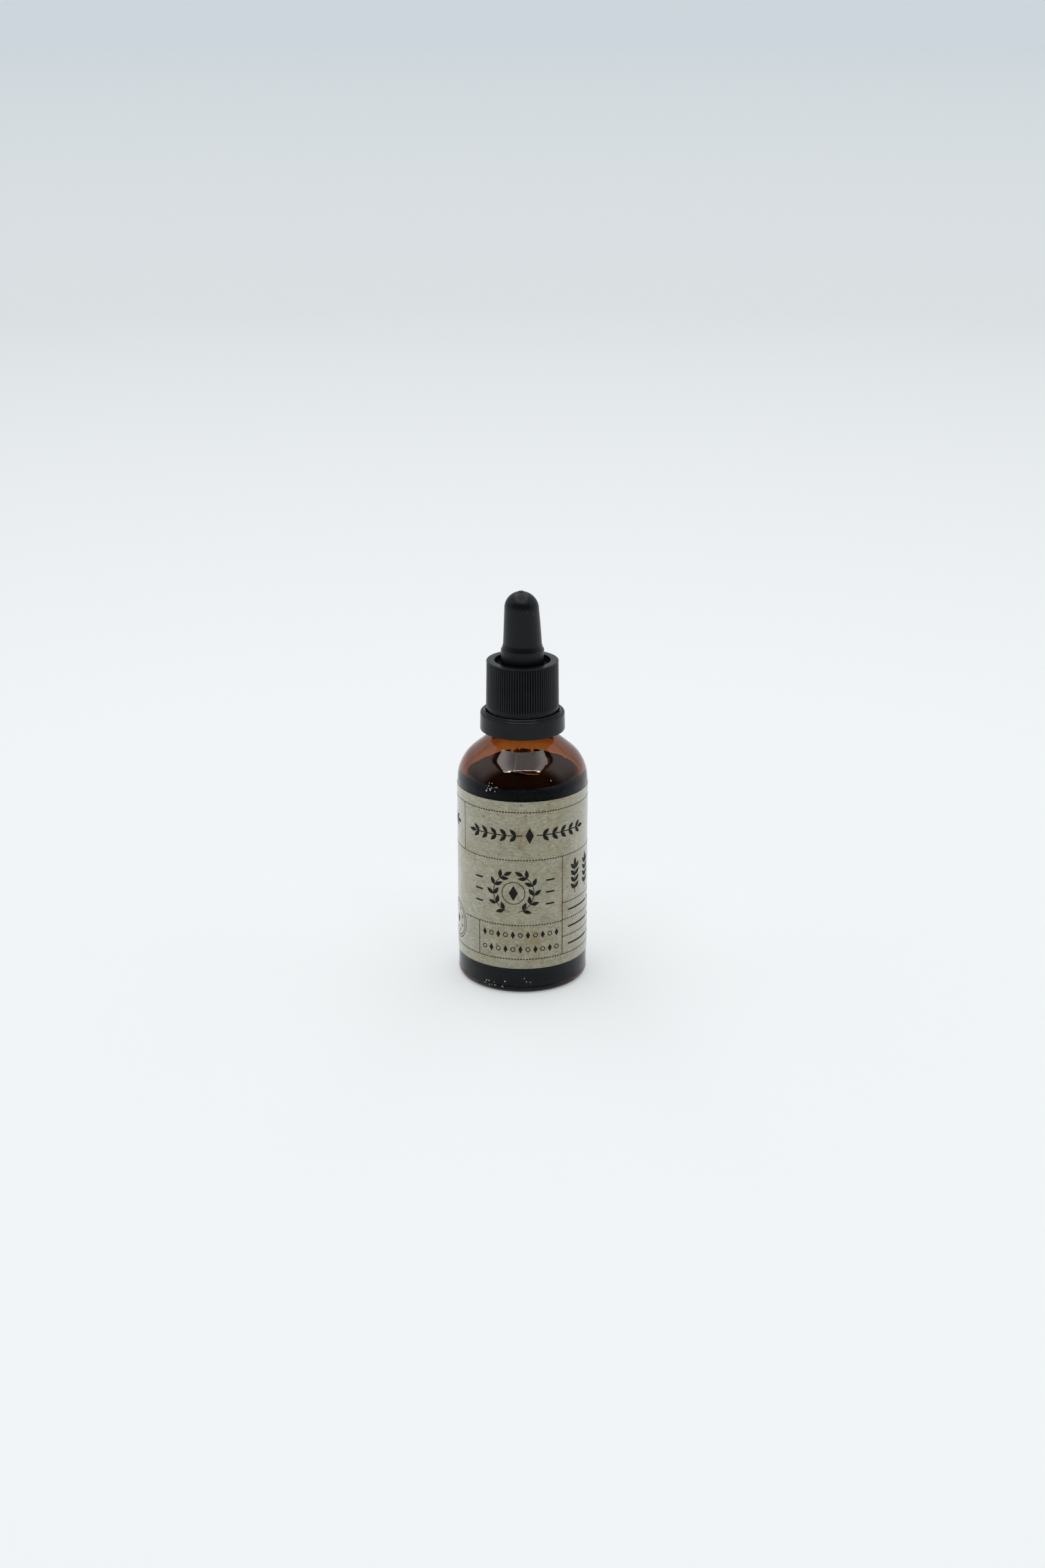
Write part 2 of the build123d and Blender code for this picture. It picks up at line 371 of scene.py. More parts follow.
for patch_bearing, patch_height, spread, spread_up, count in crumb_and_glint_patches:
    for _ in range(count):
        bearing = radians(patch_bearing - 90 + draw.gauss(0, spread / 2))
        height = patch_height + draw.gauss(0, spread_up)
        radius = min(outer_wall, key=lambda point: abs(point.y - height)).x
        middle = Vector((radius * cos(bearing), radius * sin(bearing), height))
        size = draw.uniform(*crumb_sizes)
        first = len(crumb_points)
        crumb_points += [middle + corner * size * draw.uniform(*crumb_unevenness)
                         for corner in octahedron]
        for turn in range(4):
            side, after = first + turn, first + (turn + 1) % 4
            crumb_faces += [(side, after, first + 4), (after, side, first + 5)]

# Pale crumbs. The ones at 26.5 degrees are a painted highlight, not dirt.
crumb_and_glint_material, tree, place = new_material("paper_glue_crumbs_and_painted_glint")
grain = add_node(tree, "TexNoise", {"Vector": place, "Scale": 1 / (0.1 * mm)})
colour = add_node(tree, "ValToRGB", {"Fac": grain}, stops=[(0.3, "dad5c9"), (0.7, "f7f4ee")])
shader = add_node(tree, "BsdfPrincipled", {"Base Color": colour, "Roughness": 0.6})
add_node(tree, "OutputMaterial", {"Surface": shader})
crumbs_with_glint = mesh_object("crumbs_with_painted_glint", (crumb_points, crumb_faces), crumb_and_glint_material)
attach(crumbs_with_glint, "bottle")


# Bitters
# A dark brown infusion of bark, root and peel in alcohol, poured in to just above the label.
# It wets the glass, so its edge climbs the wall in a meniscus. Its sides reach a hair into the
# glass, because liquid and glass touch with no air between them.
liquid_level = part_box("bitters")[1].z / mm
meniscus_rise = 0.5
meniscus_reach = 1.6
meniscus_bend = 2.4
meniscus_steps = 8
liquid_overlap = 0.18
liquid_step = 1.5
liquid_columns = 192
surface_margin = 0.01
surface_level_share = 0.2


def up_to(line, height):
    """The part of a rising line below a height, ended at that height."""
    below = [point for point in line if point.y < height]
    last, after = below[-1], line[len(below)]
    return below + [last.lerp(after, (height - last.y) / (after.y - last.y))]


def meniscus(edge_radius, reach, rise, level):
    """Points from the raised edge of a liquid in to the axis."""
    shares = [step / meniscus_steps for step in range(1, meniscus_steps + 1)]
    heights = [level + rise * (1 - share) ** meniscus_bend for share in shares]
    curve = [Vector((edge_radius - reach * share, up)) for share, up in zip(shares, heights)]
    return curve + [Vector((curve[-1].x * (1 - share), level)) for share in shares]


liquid_wall = rounded_line(inside_corners(-liquid_overlap, mouth))
liquid_wall = stepped_line(liquid_wall, liquid_step)
liquid_side = up_to(liquid_wall, liquid_level + meniscus_rise)
liquid_line = dished(liquid_side[0].x, base_thickness - liquid_overlap, push_up_depth) + liquid_side
liquid_line += meniscus(liquid_side[-1].x, meniscus_reach, meniscus_rise, liquid_level)

# Against glass the liquid gives no gloss of its own, only its depth: nearly black, with a trace
# of brown.
dark_bitters, tree, place = new_material("bitters_against_glass")
depth = add_node(tree, "TexNoise", {"Vector": place, "Scale": 1 / (8 * mm), "Detail": 2.0})
colour = add_node(tree, "ValToRGB", {"Fac": depth}, stops=[(0.35, "060302"), (0.7, "0d0704")])
shader = add_node(tree, "BsdfPrincipled", {
    "Base Color": colour, "Roughness": 0.5, "Specular IOR Level": 0.0})
add_node(tree, "OutputMaterial", {"Surface": shader})

# Its free surface is a still mirror, with a faint film of oils from the peel.
open_bitters, tree, place = new_material("bitters_surface")
film = add_node(tree, "TexNoise", {"Vector": place, "Scale": 1 / (5 * mm), "Detail": 3.0})
colour = add_node(tree, "ValToRGB", {"Fac": film}, stops=[(0.3, "070403"), (0.75, "0e0705")])
sheen = add_node(tree, "MapRange", {
    "Value": film, "From Min": 0.4, "From Max": 0.7, "To Min": 0.01, "To Max": 0.06})
shader = add_node(tree, "BsdfPrincipled", {
    "Base Color": colour, "Roughness": sheen, "IOR": 1.36, "Specular IOR Level": 0.04})
add_node(tree, "OutputMaterial", {"Surface": shader})


def liquid_object(name, line, columns):
    """A turned liquid, dark against the glass and a mirror on its open surface."""
    liquid = mesh_object(name, turned(line, columns), dark_bitters, open_bitters)
    for face in liquid.data.polygons:
        raised = face.center.z > (liquid_level - surface_margin) * mm
        face.material_index = int(raised and face.normal.z > surface_level_share)
    return liquid


bitters = liquid_object("bitters_in_bottle", liquid_line, liquid_columns)
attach(bitters, "bottle")
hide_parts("bitters")


# Label
# Uncoated grey kraft paper, printed in black and glued round the barrel, with its open seam
# behind. It lies flat on the glass apart from a few shallow creases and lifted spots.
label_low, label_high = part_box("label")
label_bottom = label_low.z / mm
label_top = label_high.z / mm
label_inner_radius = 18.53
label_radius = label_high.x / mm
label_seam = 5.0
seam_bearing = radians(118)
label_wave = 0.02
label_wave_length = 7.0
label_wave_squeeze = 1.6
fine_wave_share = 0.25
label_columns = 460
label_rows = 84
edge_wear = 0.05
edge_wear_wave = 1.3

seam_half = label_seam / label_radius / 2
label_turn = tau - 2 * seam_half


def paper_radius(bearing, height):
    """Outer radius of the label, with its shallow creases."""
    lift = waves(bearing, body_radius, height * label_wave_squeeze, label_wave_length)
    fine = waves(bearing, body_radius, height, label_wave_length * fine_wave_share)
    return label_radius + label_wave * (max(0.0, lift) + fine_wave_share * fine)


def wrapped_sheet():
    """The shape of the label as a closed sheet: its outer side, its glued side and four edges."""
    points = []
    for outer in (True, False):
        for row in range(label_rows + 1):
            up = row / label_rows
            for column in range(label_columns + 1):
                across = column / label_columns
                bearing = seam_bearing + seam_half + label_turn * across
                height = label_bottom + (label_top - label_bottom) * up
                if row in (0, label_rows):
                    wear = edge_wear * waves(bearing, body_radius, 0, edge_wear_wave)
                    height += wear if row else -wear
                if column in (0, label_columns):
                    wear = edge_wear * waves(0, body_radius, height, edge_wear_wave)
                    bearing += wear / body_radius
                radius = paper_radius(bearing, height) if outer else label_inner_radius
                points.append((radius * cos(bearing), radius * sin(bearing), height))
    wide = label_columns + 1
    back = wide * (label_rows + 1)
    faces = []
    for row in range(label_rows):
        for column in range(label_columns):
            corner = row * wide + column
            front = (corner, corner + 1, corner + wide + 1, corner + wide)
            faces.append(front)
            faces.append(tuple(back + point for point in reversed(front)))
    edge = list(range(wide)) + [wide * row + label_columns for row in range(1, label_rows + 1)]
    edge += [wide * label_rows + column for column in range(label_columns - 1, -1, -1)]
    edge += [wide * row for row in range(label_rows - 1, 0, -1)]
    for start, end in zip(edge, edge[1:] + edge[:1]):
        faces.append((end, start, back + start, back + end))
    return points, faces


# Uncoated kraft paper shows its fibres, which lie mostly round the bottle as the sheet was drawn
# off the machine, with cloudy patches, darker bits of bark and stains of handling. Faint creases
# are painted shade: thin darker lines where the sheet has no fold.
# The fibres, a few hundredths of a millimetre wide, are drawn coarser so that they show.
kraft_paper, tree, place = new_material("grey_kraft_paper")
drawn = add_node(tree, "Mapping", {"Vector": place, "Scale": (1, 1, 4)})
fibres = add_node(tree, "TexNoise", {
    "Vector": drawn, "Scale": 1 / (1.3 * mm), "Detail": 6.0, "Roughness": 0.7})
clouds = add_node(tree, "TexNoise", {
    "Vector": place, "Scale": 1 / (3.5 * mm), "Detail": 6.0, "Roughness": 0.7})
bits = add_node(tree, "TexNoise", {"Vector": place, "Scale": 1 / (0.7 * mm), "Detail": 2.0})
stains = add_node(tree, "TexNoise", {
    "Vector": place, "Scale": 1 / (11 * mm), "Detail": 6.0, "Roughness": 0.65})
crease_shade_lines = add_node(tree, "TexVoronoi", {
    "Vector": drawn, "Scale": 1 / (24 * mm)}, feature="DISTANCE_TO_EDGE")
fibre_colour = add_node(tree, "ValToRGB", {"Fac": fibres}, stops=[
    (0.3, "8c866d"), (0.5, "aca68e"), (0.7, "ccc6ae")])
cloud_colour = add_node(tree, "ValToRGB", {"Fac": clouds}, stops=[
    (0.35, "e4e1d9"), (0.65, "ffffff")])
stain_colour = add_node(tree, "ValToRGB", {"Fac": stains}, stops=[
    (0.5, "ffffff"), (0.66, "f0e4cc")])
bit_colour = add_node(tree, "ValToRGB", {"Fac": bits}, stops=[(0.66, "ffffff"), (0.73, "a3937a")])
# Painted shade: the paper is a little darker along thin crease lines.
painted_crease_shade = add_node(tree, "ValToRGB", {"Fac": crease_shade_lines}, stops=[
    (0.0, "dcd9d2"), (0.012, "ffffff")])
paper = fibre_colour
for layer in (cloud_colour, stain_colour, bit_colour, painted_crease_shade):
    mixed = add_node(tree, "Mix", {0: 1.0, 6: paper, 7: layer},
                     data_type="RGBA", blend_type="MULTIPLY")
    paper = mixed.outputs[2]
tooth = add_node(tree, "Bump", {"Height": fibres, "Strength": 0.3, "Distance": 0.05 * mm})
shader = add_node(tree, "BsdfPrincipled", {
    "Base Color": paper, "Roughness": 0.7, "Normal": tooth, "Specular IOR Level": 0.5,
    "Sheen Weight": 1.0, "Sheen Roughness": 0.5})
add_node(tree, "OutputMaterial", {"Surface": shader})

# The cut edge shows the paler pulp inside the sheet.
cut_paper, tree, place = new_material("cut_edge_of_kraft_paper")
pulp = add_node(tree, "TexNoise", {"Vector": place, "Scale": 1 / (0.4 * mm), "Detail": 3.0})
colour = add_node(tree, "ValToRGB", {"Fac": pulp}, stops=[(0.3, "c2beb0"), (0.7, "dedacd")])
shader = add_node(tree, "BsdfPrincipled", {
    "Base Color": colour, "Roughness": 0.9, "Specular IOR Level": 0.2})
add_node(tree, "OutputMaterial", {"Surface": shader})

label = mesh_object("paper_label", wrapped_sheet(), kraft_paper, cut_paper)
for face in label.data.polygons[2 * label_rows * label_columns:]:
    face.material_index = 1
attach(label, "bottle")
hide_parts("label")


# Label print
# Black ink, printed on the paper before it was glued on: rules of dashes that part it into
# panels, which hold sprigs, a wreath, a seal, lines to write on and rows of small ornaments. Sizes
# are along the label, from the middle of its front, and up from where the bottle stands.
front_bearing = radians(-90)
ink_proud = 0.012
ink_sunk = 0.02
fine_line = 0.24
rule_line = 0.32
bold_line = 0.5
widest_strip = 0.6
dash_length = 0.55
dash_pitch = 0.85
seam_margin = 1.2
top_rule, middle_rule, lower_rule, foot_rule = 55.3, 41.0, 21.3, 10.9
seal_left, front_left, rows_left, front_right, side_right = -32.0, -19.6, -13.3, 12.1, 29.5
band_middle = 48.4
wreath_middle = Vector((-2.6, 31.1))
wreath_radius = 5.9
wreath_foot, wreath_head = 12, 152
wreath_pairs = 5
wreath_ring_radius = 3.3
wreath_mark_start = 9.4
wreath_mark_end = 12.0
seal_middle = Vector((-25.2, 17.9))
seal_ring_radii = (5.7, 4.9)
seal_spot_radius = 3.5
seal_spots = 8
ornament_count = 11
ornament_pitch = 2.15
ornament_start = -11.35
leaf_length = 2.7
leaf_width = 1.15
leaf_foot = 0.15
leaf_steps = 8
leaf_point = 0.03
wreath_leaf_lean = 42
sprig_leaf_lean = 44
sprig_first_joint = 0.6
circle_step = 0.5
fewest_circle_steps = 10
ink_points = []
ink_faces = []


def on_paper(place, lift):
    """A point over the paper from one of the unrolled label."""
    bearing = front_bearing + place.x / label_radius
    radius = paper_radius(bearing, place.y) + lift
    return radius * cos(bearing), radius * sin(bearing), place.y


def ink_stroke(centres, widths, closed=False):
    """A flat stroke of ink through points of the unrolled label, with a width at each."""
    count = len(centres)
    strips = ceil(max(widths) / widest_strip)
    shares = [strip / strips - 0.5 for strip in range(strips + 1)]
    ring = 2 * len(shares)
    first = len(ink_points)
    for place, (centre, width) in enumerate(zip(centres, widths)):
        after = centres[(place + 1) % count] if closed or place + 1 < count else centre
        before = centres[place - 1] if closed or place else centre
        onward = (after - before).normalized()
        across = Vector((-onward.y, onward.x)) * width
        ink_points.extend(on_paper(centre + across * share, ink_proud) for share in shares)
        ink_points.extend(on_paper(centre + across * share, -ink_sunk) for share in shares[::-1])
    for place in range(count if closed else count - 1):
        here, there = first + ring * place, first + ring * ((place + 1) % count)
        for edge in range(ring):
            turn = (edge + 1) % ring
            ink_faces.append((here + edge, there + edge, there + turn, here + turn))
    if not closed:
        last = first + ring * (count - 1)
        ink_faces.append(tuple(range(first, first + ring)))
        ink_faces.append(tuple(range(last + ring - 1, last - 1, -1)))


def straight(start, end, width, step=0.8):
    """A straight stroke, in steps short enough to follow the bottle."""
    start, end = Vector(start), Vector(end)
    steps = max(1, ceil((end - start).length / step))
    line = [start.lerp(end, place / steps) for place in range(steps + 1)]
    ink_stroke(line, [width] * len(line))


def dashed(start, end, width):
    """A row of dashes from one point to another."""
    start, end = Vector(start), Vector(end)
    count = round((end - start).length / dash_pitch)
    dash = (end - start).normalized() * dash_length
    for place in range(count):
        foot = start.lerp(end, place / count)
        straight(foot, foot + dash, width)


def spindle(foot, tip, width, fullest=0.45):
    """A stroke that swells and comes to a point at both ends: a leaf, or a lozenge if short."""
    shares = [step / leaf_steps for step in range(leaf_steps + 1)]
    bend = log(0.5) / log(fullest)
    swell = [width * sin(pi * share ** bend) + leaf_point for share in shares]
    ink_stroke([foot.lerp(tip, share) for share in shares], swell)


def lozenge(middle, half_wide, half_high):
    """A solid diamond."""
    shares = [2 * step / leaf_steps - 1 for step in range(leaf_steps + 1)]
    ink_stroke([Vector(middle) + Vector((0, half_high * share)) for share in shares],
               [2 * half_wide * (1 - abs(share)) + leaf_point for share in shares])


def at_angle(degrees, radius):
    """A step from a middle, turned from the label's length up towards its top."""
    return Matrix.Rotation(radians(degrees), 2) @ Vector((radius, 0))


def ring_line(middle, radius, width):
    """A circle."""
    steps = max(fewest_circle_steps, ceil(tau * radius / circle_step))
    circle = [middle + at_angle(360 * step / steps, radius) for step in range(steps)]
    ink_stroke(circle, [width] * steps, closed=True)


def leaf_pair(joint, onward, lean):
    """Two leaves that lean away from a stem on its way onward."""
    for side in (-1, 1):
        along = Matrix.Rotation(radians(side * lean), 2) @ onward
        spindle(joint + along * leaf_foot, joint + along * leaf_length, leaf_width)


def branch(middle, radius, start, end, pairs):
    """A curved stem with a pair of leaves at each of its joints and one at its tip."""
    angles = [start + (end - start) * place / (2 * pairs) for place in range(2 * pairs + 1)]
    stem = [middle + at_angle(angle, radius) for angle in angles]
    ink_stroke(stem, [fine_line] * len(stem))
    quarter = copysign(90, end - start)
    for angle, joint in zip(angles[1::2], stem[1::2]):
        leaf_pair(joint, at_angle(angle + quarter, 1), wreath_leaf_lean)
    spindle(stem[-1], stem[-1] + at_angle(angles[-1] + quarter, leaf_length), leaf_width)


def sprig(foot, tip, pairs):
    """A straight stem with pairs of leaves that lean towards its tip, and one leaf there."""
    foot, tip = Vector(foot), Vector(tip)
    onward = (tip - foot).normalized()
    straight(foot, tip, rule_line)
    for pair in range(pairs):
        leaf_pair(foot.lerp(tip, (pair + sprig_first_joint) / pairs), onward, sprig_leaf_lean)
    spindle(tip, tip + onward * leaf_length, leaf_width)


seam_side = (seam_bearing - front_bearing - seam_half) * label_radius
seam_other = seam_side - label_turn * label_radius
for height in (top_rule, middle_rule, foot_rule):
    dashed((seam_other + seam_margin, height), (seam_side - seam_margin, height), rule_line)
dashed((-19.2, lower_rule), (front_right, lower_rule), rule_line)
for height in (26.7, 21.5, 16.3):
    dashed((front_right, height), (side_right, height), rule_line)
straight((front_left, middle_rule), (front_left, top_rule), fine_line)
straight((rows_left, foot_rule), (rows_left, lower_rule), fine_line)
for place in (front_right, side_right, seal_left):
    straight((place, foot_rule), (place, middle_rule), fine_line)

for foot, tip, pairs in ((0, -14.2, 5), (4, 18.2, 5), (-42, -25, 6), (30, 55, 9)):
    sprig((foot, band_middle), (tip, band_middle), pairs)
lozenge((2, band_middle), 1.2, 2.4)
for place, foot, top, pairs in ((17.2, 28.6, 36.6, 4), (23.2, 28.6, 36.6, 4), (36.5, 14, 34.5, 8)):
    sprig((place, foot), (place, top), pairs)

for side in (-1, 1):
    branch(wreath_middle, wreath_radius, side * wreath_foot - 90, side * wreath_head - 90,
           wreath_pairs)
    for up in (3.6, 0, -3.6):
        straight(wreath_middle + Vector((side * wreath_mark_start, up)),
                 wreath_middle + Vector((side * wreath_mark_end, up)), bold_line)
lozenge(wreath_middle, 1.3, 2.3)
ring_line(wreath_middle, wreath_ring_radius, fine_line)
for radius in seal_ring_radii:
    ring_line(seal_middle, radius, fine_line)
lozenge(seal_middle, 0.9, 1.5)
for spot in range(seal_spots):
    angle = 360 * (spot + 0.5) / seal_spots
    lozenge(seal_middle + at_angle(angle, seal_spot_radius), 0.4, 0.6)

for row, height in enumerate((18.3, 13.9)):
    for step in range(ornament_count):
        middle = Vector((ornament_start + step * ornament_pitch, height))
        if (step + row) % 2:
            ring_line(middle, 0.62, 0.28)
        else:
            lozenge(middle, 0.62, 1.15)

for height in (24.1, 18.9, 13.6):
    straight((14.3, height), (24.5, height), bold_line)
    lozenge((26.2, height), 0.6, 0.8)
for height in (37, 32.6, 28.2, 23.8, 19.4, 15):
    straight((-44.5, height), (-34.5, height), fine_line)
    straight((44, height), (61, height), fine_line)

# Thin, matt ink, a little uneven where the kraft took less of it.
label_ink, tree, place = new_material("black_printing_ink")
taken = add_node(tree, "TexNoise", {
    "Vector": place, "Scale": 1 / (0.45 * mm), "Detail": 4.0, "Roughness": 0.7})
colour = add_node(tree, "ValToRGB", {"Fac": taken}, stops=[
    (0.52, "171614"), (0.68, "2f2d29"), (0.78, "645f54")])
shader = add_node(tree, "BsdfPrincipled", {
    "Base Color": colour, "Roughness": 0.7, "Specular IOR Level": 0.2})
add_node(tree, "OutputMaterial", {"Surface": shader})

label_print = mesh_object("label_print", (ink_points, ink_faces), label_ink, hard_angle=20)
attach(label_print, "bottle")


# Tamper ring
# Moulded in one shot with the cap from black polypropylene, and held under the glass bead by
# its lugs. Its bridges to the cap snapped at the first opening.

# Polypropylene from a satin mould: near black, with a soft sheen that only rises at a flat angle,
# and a polish that varies where hands have rubbed it.
moulded_pp, tree, place = new_material("moulded_black_polypropylene")
grain = add_node(tree, "TexNoise", {"Vector": place, "Scale": 1 / (0.25 * mm), "Detail": 3.0})
handling = add_node(tree, "TexNoise", {"Vector": place, "Scale": 1 / (6 * mm), "Detail": 4.0})
colour = add_node(tree, "ValToRGB", {"Fac": handling}, stops=[(0.35, "121516"), (0.7, "181c1e")])
polish = add_node(tree, "MapRange", {"Value": handling, "To Min": 0.2, "To Max": 0.27})
texture = add_node(tree, "Bump", {"Height": grain, "Strength": 0.15, "Distance": 0.02 * mm})
shader = add_node(tree, "BsdfPrincipled", {
    "Base Color": colour, "Roughness": polish, "IOR": 1.49, "Specular IOR Level": 0.18,
    "Normal": texture})
add_node(tree, "OutputMaterial", {"Surface": shader})

ring_low, ring_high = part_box("tamper_ring")
ring_bottom = ring_low.z / mm
stub_top = ring_high.z / mm
stub_height = 0.2
ring_top = stub_top - stub_height
ring_radius = 12.0
ring_draft = 0.1
ring_bore_radius = 10.9
lip_outer_radius = 10.95
lip_inner_radius = 10.4
lip_height = 0.45
ring_top_thickness = 0.8
ring_bevel = 0.34
lip_bevel = 0.34
bevel_slope = 0.8
ring_columns = 288
ring_step = 1.0
stub_count = 12
stub_width = 0.7
stub_depth = 0.3
stub_sunk = 0.1
stub_outer_drop = 0.04
stub_inner_drop = 0.07
stub_torn = 0.05
stub_torn_wave = 0.35
lug_count = 8
lug_radius = 9.3
lug_width = 3.0
lug_sunk = 0.3
lug_clearance = 0.2
lug_height = 1.9
lug_tip = 0.4

shelf = ring_top - lip_height
under_top = shelf - ring_top_thickness
ring_section = stepped_line(rounded_line([
    (ring_bore_radius, ring_bottom, 0.1),
    (ring_radius, ring_bottom, 0.16),
    (ring_radius - ring_draft, shelf - ring_bevel, 0.15),
    (ring_radius - ring_draft - ring_bevel * bevel_slope, shelf, 0.1),
    (lip_outer_radius, shelf, 0.06),
    (lip_outer_radius, ring_top - lip_bevel, 0.08),
    (lip_outer_radius - lip_bevel * bevel_slope, ring_top, 0.08),
    (lip_inner_radius, ring_top, 0.12),
    (lip_inner_radius, under_top, 0.05),
    (ring_bore_radius, under_top, 0.1),
]), ring_step, closed=True)


def add_swept(shape, section, bearing, width, steps=4, ragged=0.0):
    """Adds a closed piece of a ring: a section of (radius, height) swept over a width."""
    points, faces = shape
    first = len(points)
    count = len(section)
    middle_radius = sum(corner[0] for corner in section) / count
    for step in range(steps + 1):
        turn = bearing + (step / steps - 0.5) * width / middle_radius
        for radius, height in section:
            torn = ragged * waves(turn, radius, height, stub_torn_wave)
            points.append((radius * cos(turn), radius * sin(turn), height + torn))
    for step in range(steps):
        for edge in range(count):
            here, there = first + step * count, first + (step + 1) * count
            after = (edge + 1) % count
            faces.append((here + edge, there + edge, there + after, here + after))
    faces.append(tuple(range(first, first + count)))
    faces.append(tuple(range(first + (steps + 1) * count - 1, first + steps * count - 1, -1)))


ring_shape = turned(ring_section, ring_columns, closed=True)
stub_foot = ring_top - stub_sunk
stub_inner = (lip_inner_radius + lip_outer_radius - stub_depth) / 2
stub_outer = stub_inner + stub_depth
stub_section = [(stub_inner, stub_foot), (stub_outer, stub_foot),
                (stub_outer, stub_top - stub_outer_drop), (stub_inner, stub_top - stub_inner_drop)]
for number in range(stub_count):
    bearing = tau * (number + 0.5) / stub_count
    add_swept(ring_shape, stub_section, bearing, stub_width, ragged=stub_torn)
lug_top = bead_bottom - lug_clearance
lug_foot = lug_top - lug_height
lug_root = ring_bore_radius + lug_sunk
lug_section = [(lug_radius, lug_top - lug_tip), (lug_root, lug_foot), (lug_root, lug_top),
               (lug_radius, lug_top)]
for number in range(lug_count):
    add_swept(ring_shape, lug_section, tau * number / lug_count, lug_width)
ring = mesh_object("tamper_ring_moulding", ring_shape, moulded_pp)
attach(ring, "tamper_ring")
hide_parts("tamper_ring")


# Cap
# Injection moulded black polypropylene. Fine ribs run out into a smooth band below, and its open
# top holds the teat's flange down on the mouth. It screws down on the neck's thread.
cap_low, cap_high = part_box("cap")
cap_guard_bottom = cap_low.z / mm
cap_top = cap_high.z / mm
cap_band_radius = cap_high.x / mm
cap_guard_height = 1.1
cap_bottom = cap_guard_bottom + cap_guard_height
cap_bore_radius = 9.0
cap_guard_wall = 1.1
cap_hole_radius = 7.9
cap_top_thickness = 1.6
cap_crest_radius = cap_band_radius - 0.06
cap_crest_top_radius = cap_crest_radius - 0.17
cap_rim_radius = cap_crest_top_radius + 0.06
cap_rim_height = 0.35
cap_rim_round = 0.28
cap_band_height = 0.45
cap_edge_round = 0.15
rib_count = 86
rib_columns = 10
rib_depth = 0.3
rib_runout = 0.9
rib_groove_share = 0.3
runout_rows = 6
cap_thread_height = 0.85
cap_thread_half_width = 0.6
cap_thread_start = mouth - thread_below_mouth - thread_pitch / 2
cap_thread_step = 0.4
cap_thread_rows = 24

rib_bottom = cap_bottom + cap_band_height
rib_top = cap_top - cap_rim_height
skirt_outside = rounded_line([
    (cap_bore_radius, cap_guard_bottom, 0),
    (cap_bore_radius + cap_guard_wall, cap_guard_bottom, 0.1),
    (cap_bore_radius + cap_guard_wall, cap_bottom, 0),
    (cap_band_radius, cap_bottom, cap_edge_round),
    (cap_band_radius, rib_bottom, 0),
])
ribbed_heights = [rib_bottom + rib_runout * step / runout_rows for step in range(runout_rows + 1)]
ribbed_heights += [(rib_bottom + rib_top) / 2, rib_top]
ribbed_rows = range(len(skirt_outside), len(skirt_outside) + len(ribbed_heights))


def crest_radius_at(height):
    """Radius of the ribs' crests, which lean in towards the top."""
    share = (height - rib_bottom) / (rib_top - rib_bottom)
    return cap_crest_radius + (cap_crest_top_radius - cap_crest_radius) * share


rim = rounded_line([
    (cap_rim_radius, rib_top, 0),
    (cap_rim_radius, cap_top, cap_rim_round),
    (cap_hole_radius, cap_top, 0.1),
    (cap_hole_radius, cap_top - cap_top_thickness, 0.1),
    (cap_bore_radius, cap_top - cap_top_thickness, 0),
    (cap_bore_radius, cap_guard_bottom, 0),
])[:-1]
thread_heights = [rim[-1].y - cap_thread_step * (step + 2) for step in range(cap_thread_rows)]
thread_rows = [Vector((cap_bore_radius, height)) for height in thread_heights]
ribs = [Vector((crest_radius_at(height), height)) for height in ribbed_heights]
cap_line = skirt_outside + ribs + rim + thread_rows


def shaped_cap(row, bearing, radius, height):
    """Grooves between the ribs on the outside, and the thread inside."""
    if row in ribbed_rows:
        off_groove = abs(bearing / tau * rib_count % 1 - 0.5)
        groove = smooth(1 - off_groove / rib_groove_share)
        radius -= rib_depth * groove * smooth((height - rib_bottom) / rib_runout)
    if row >= len(cap_line) - cap_thread_rows:
        ridge = on_thread(bearing, height, cap_thread_start, thread_turns, cap_thread_half_width)
        radius -= cap_thread_height * ridge
    return radius, height


cap_shape = turned(cap_line, rib_count * rib_columns, shaped_cap, closed=True)
cap = mesh_object("screw_cap", cap_shape, moulded_pp)
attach(cap, "cap")
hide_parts("cap")


# Teat
# One piece of moulded black rubber. The cap clamps its flange on the mouth, its plug seals the
# bore and its hollow bulb draws the bitters up. It leans a little, as soft rubber does.
teat_low, teat_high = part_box("teat")
plug_bottom = teat_low.z / mm
teat_top = teat_high.z / mm
flange_radius = teat_high.x / mm
plug_radius = 5.2
plug_taper = 0.5
flange_top = mouth + 0.8
collar_radius = 6.05
collar_top = flange_top + 4.8
collar_step = 0.18
collar_step_rise = 0.05
bulb_bottom = collar_top + 1.5
bulb_radius = 5.46
bulb_tip_radius = 4.85
bulb_top = bulb_bottom + 10.1
teat_wall = 1.25
teat_hole_radius = 3.46
pipette_top = 98.51
gate_radius = 0.8
gate_taper = 0.12
dome_steps = 18
teat_lean = 0.4
teat_lean_bend = 1.6
teat_step = 0.9
teat_columns = 128
teat_unevenness = 0.03
teat_unevenness_wave = 6.0


def dome(radius, foot):
    """Points up a round dome from its foot to its top on the axis."""
    angles = [radians(90) * step / dome_steps for step in range(dome_steps + 1)]
    return [Vector((radius * cos(angle), foot + radius * sin(angle))) for angle in angles]


